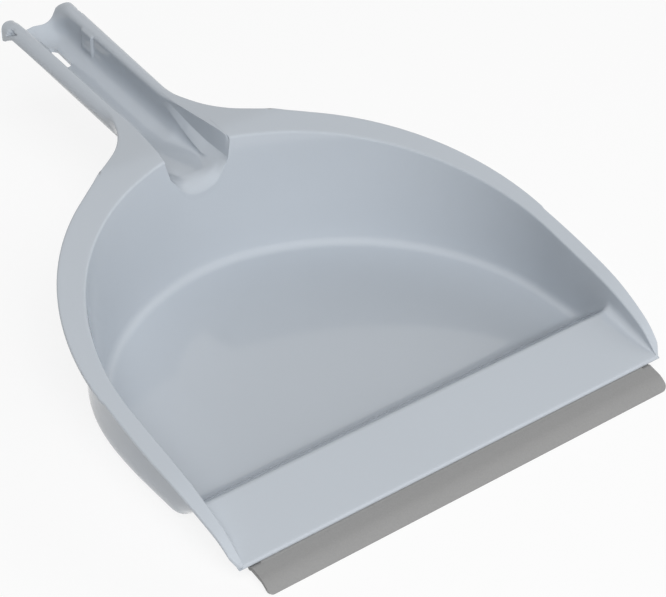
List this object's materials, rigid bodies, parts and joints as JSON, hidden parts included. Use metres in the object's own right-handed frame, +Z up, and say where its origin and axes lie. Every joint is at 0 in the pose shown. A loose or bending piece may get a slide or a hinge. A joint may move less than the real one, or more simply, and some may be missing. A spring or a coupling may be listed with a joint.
{
  "type": "hand-held dustpan",
  "caption": "Hand-held dustpan: moulded D-shaped tray with a raised front ramp, a rim flange rising into a hollow channel grip, and a soft rubber lip along the front edge.",
  "frame": {"origin": "middle of the flat underside of the tray", "axes": "+Z up, +Y back along the grip, -Y towards the rubber lip, +X to the right seen from the grip"},
  "size_m": [0.2248, 0.332, 0.071],
  "materials": {
    "pan_plastic": "glossy grey-blue injection moulding",
    "lip_rubber": "matt warm grey soft rubber"
  },
  "bodies": {
    "pan": {"pan": "pan_plastic"},
    "lip": {"rubber_lip": "lip_rubber"}
  },
  "joints": [
    {"name": "lip_flex", "type": "hinge", "parent": "pan", "child": "lip", "pos_m": [0, -0.1034, 0.0051], "axis": [-1, 0, 0], "range_deg": [-3, 12], "stiffness_Nm_per_rad": 0.12}
  ]
}
